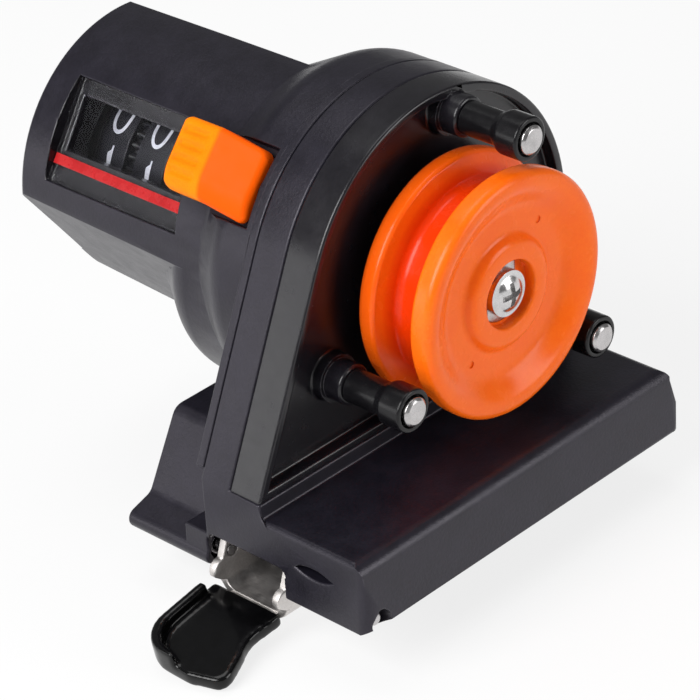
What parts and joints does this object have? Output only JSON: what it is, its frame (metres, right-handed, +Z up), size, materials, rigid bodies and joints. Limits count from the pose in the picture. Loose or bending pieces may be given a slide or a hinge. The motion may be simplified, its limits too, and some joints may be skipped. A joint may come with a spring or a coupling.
{
  "type": "fishing line counter",
  "caption": "Clip-on fishing line counter: a grooved pulley between guide rollers drives number drums in a windowed barrel, with a push reset and a sprung lever that clamps it to a rod.",
  "frame": {"origin": "on the axis of the clamped rod, straight below the pulley's axle", "axes": "+X along the rod, away from the lever's grip; +Y from the pulley to the barrel; +Z up"},
  "size_m": [0.077, 0.0762, 0.0645],
  "materials": {
    "charcoal_plastic": "fine satin texture from the mould",
    "black_plastic": "fine satin texture from the mould",
    "clear_lens": "polished clear acrylic",
    "red_strip": "smooth printed strip",
    "orange_pulley": "smooth moulded acetal",
    "orange_button": "satin, ribbed pad",
    "roller_plastic": "smooth moulded acetal",
    "ground_steel": "ground, bright",
    "screw_steel": "bright plated",
    "spring_steel": "drawn wire",
    "lever_steel": "pressed sheet, satin nickel",
    "bearing_brass": "turned",
    "plate_aluminium": "milled",
    "gear_plastic": "natural acetal",
    "drum_plastic": "satin black with white digits",
    "pad_rubber": "soft, matt",
    "grip_vinyl": "dipped vinyl, glossy"
  },
  "bodies": {
    "case": {"front_cover": "black_plastic", "chassis": "charcoal_plastic", "rear_housing": "charcoal_plastic", "window_lens": "clear_lens", "index_strip": "red_strip", "case_screws": "screw_steel", "shaft_bush": "bearing_brass", "guide_pins": "ground_steel", "gear_plate": "plate_aluminium", "lay_shaft": "ground_steel", "drum_shaft": "ground_steel", "carry_shaft": "ground_steel", "rod_pad": "pad_rubber", "pivot_pins": "ground_steel", "reset_spring": "spring_steel", "lever_springs": "spring_steel"},
    "pulley": {"pulley": "orange_pulley", "pulley_shaft": "lever_steel", "pulley_screw": "screw_steel", "drive_pinion": "bearing_brass"},
    "lever": {"clamp_lever": "lever_steel", "lever_grip": "grip_vinyl", "jaw_pad": "pad_rubber"},
    "button": {"reset_button": "orange_button"},
    "top_roller": {"top_roller": "roller_plastic"},
    "left_roller": {"left_roller": "roller_plastic"},
    "right_roller": {"right_roller": "roller_plastic"},
    "first_gear": {"first_gear": "gear_plastic"},
    "idler_gear": {"idler_gear": "gear_plastic"},
    "last_gear": {"last_gear": "gear_plastic"},
    "units_drum": {"units_drum": "drum_plastic"},
    "tens_drum": {"tens_drum": "drum_plastic"},
    "hundreds_drum": {"hundreds_drum": "drum_plastic"},
    "tens_carry_pinion": {"tens_carry_pinion": "gear_plastic"},
    "hundreds_carry_pinion": {"hundreds_carry_pinion": "gear_plastic"}
  },
  "joints": [
    {"name": "pulley_spin", "type": "hinge", "parent": "case", "child": "pulley", "pos_m": [0, 0, 0.0312], "axis": [0, 1, 0], "continuous": true},
    {"name": "first_gear_spin", "type": "hinge", "parent": "case", "child": "first_gear", "pos_m": [-0.01128, 0, 0.0271], "axis": [0, 1, 0], "continuous": true},
    {"name": "idler_gear_spin", "type": "hinge", "parent": "case", "child": "idler_gear", "pos_m": [0, 0, 0.0312], "axis": [0, 1, 0], "continuous": true},
    {"name": "last_gear_spin", "type": "hinge", "parent": "case", "child": "last_gear", "pos_m": [-0.01128, 0, 0.0271], "axis": [0, 1, 0], "continuous": true},
    {"name": "units_spin", "type": "hinge", "parent": "case", "child": "units_drum", "pos_m": [0, 0, 0.0312], "axis": [0, 1, 0], "continuous": true},
    {"name": "tens_spin", "type": "hinge", "parent": "case", "child": "tens_drum", "pos_m": [0, 0, 0.0312], "axis": [0, 1, 0], "continuous": true},
    {"name": "hundreds_spin", "type": "hinge", "parent": "case", "child": "hundreds_drum", "pos_m": [0, 0, 0.0312], "axis": [0, 1, 0], "continuous": true},
    {"name": "tens_carry_spin", "type": "hinge", "parent": "case", "child": "tens_carry_pinion", "pos_m": [0.00675, 0, 0.01951], "axis": [0, 1, 0], "continuous": true},
    {"name": "hundreds_carry_spin", "type": "hinge", "parent": "case", "child": "hundreds_carry_pinion", "pos_m": [0.00675, 0, 0.01951], "axis": [0, 1, 0], "continuous": true},
    {"name": "top_roller_spin", "type": "hinge", "parent": "case", "child": "top_roller", "pos_m": [0.00361, -0.01, 0.05234], "axis": [0, 1, 0], "continuous": true},
    {"name": "left_roller_spin", "type": "hinge", "parent": "case", "child": "left_roller", "pos_m": [-0.02012, -0.01, 0.02376], "axis": [0, 1, 0], "continuous": true},
    {"name": "right_roller_spin", "type": "hinge", "parent": "case", "child": "right_roller", "pos_m": [0.0165, -0.01, 0.0175], "axis": [0, 1, 0], "continuous": true},
    {"name": "reset_press", "type": "slide", "parent": "case", "child": "button", "axis": [0.766, 0, -0.6428], "range_m": [0, 0.0012], "stiffness_N_per_m": 300, "springref_m": -0.002, "deforming": ["reset_spring"]},
    {"name": "lever_pivot", "type": "hinge", "parent": "case", "child": "lever", "pos_m": [-0.0333, 0, 0.001], "axis": [0, 1, 0], "range_deg": [0, 16], "stiffness_Nm_per_rad": 0.5, "springref_deg": -34.38, "deforming": ["lever_springs"]}
  ],
  "couplings": [
    {"joint": "first_gear_spin", "follows": "pulley_spin", "ratio": -0.2},
    {"joint": "idler_gear_spin", "follows": "pulley_spin", "ratio": 0.05},
    {"joint": "last_gear_spin", "follows": "pulley_spin", "ratio": -0.016667},
    {"joint": "units_spin", "follows": "pulley_spin", "ratio": 0.0083333},
    {"joint": "tens_spin", "follows": "pulley_spin", "ratio": 0.00083333},
    {"joint": "hundreds_spin", "follows": "pulley_spin", "ratio": 0.000083333},
    {"joint": "tens_carry_spin", "follows": "pulley_spin", "ratio": -0.0047917},
    {"joint": "hundreds_carry_spin", "follows": "pulley_spin", "ratio": -0.00047917}
  ]
}
